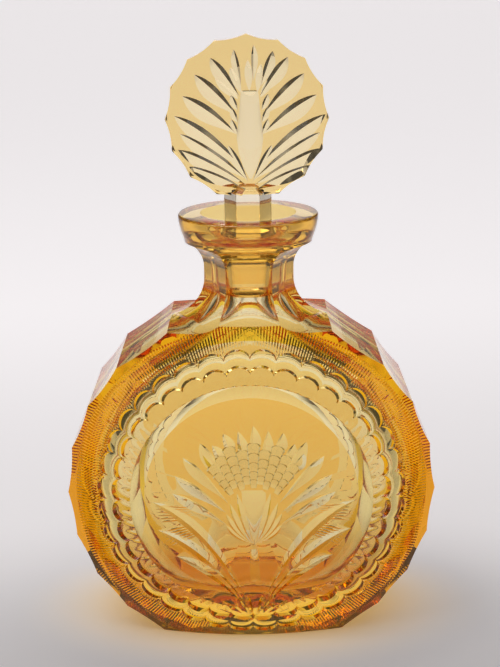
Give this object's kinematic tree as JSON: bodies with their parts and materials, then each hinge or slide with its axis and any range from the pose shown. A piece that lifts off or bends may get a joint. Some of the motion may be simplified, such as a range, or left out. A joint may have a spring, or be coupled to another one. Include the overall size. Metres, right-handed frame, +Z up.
{
  "type": "glass decanter",
  "caption": "Flat round cut glass decanter with a faceted neck, flared collar and a ground glass stopper with a disc finial.",
  "frame": {"origin": "middle of the flat base, on the surface the decanter stands on", "axes": "+Z up along the neck, +X across the disc to its right, -Y out of the front face"},
  "size_m": [0.16, 0.072, 0.261],
  "materials": {
    "bottle_glass": "polished amber crystal with wheel-cut facets",
    "stopper_glass": "polished amber crystal, ground matt on the plug"
  },
  "bodies": {
    "bottle": {"bottle": "bottle_glass"},
    "stopper": {"stopper": "stopper_glass"}
  },
  "joints": [
    {"name": "stopper_lift", "type": "slide", "parent": "bottle", "child": "stopper", "axis": [0, 0, 1], "range_m": [0, 0.05]}
  ]
}
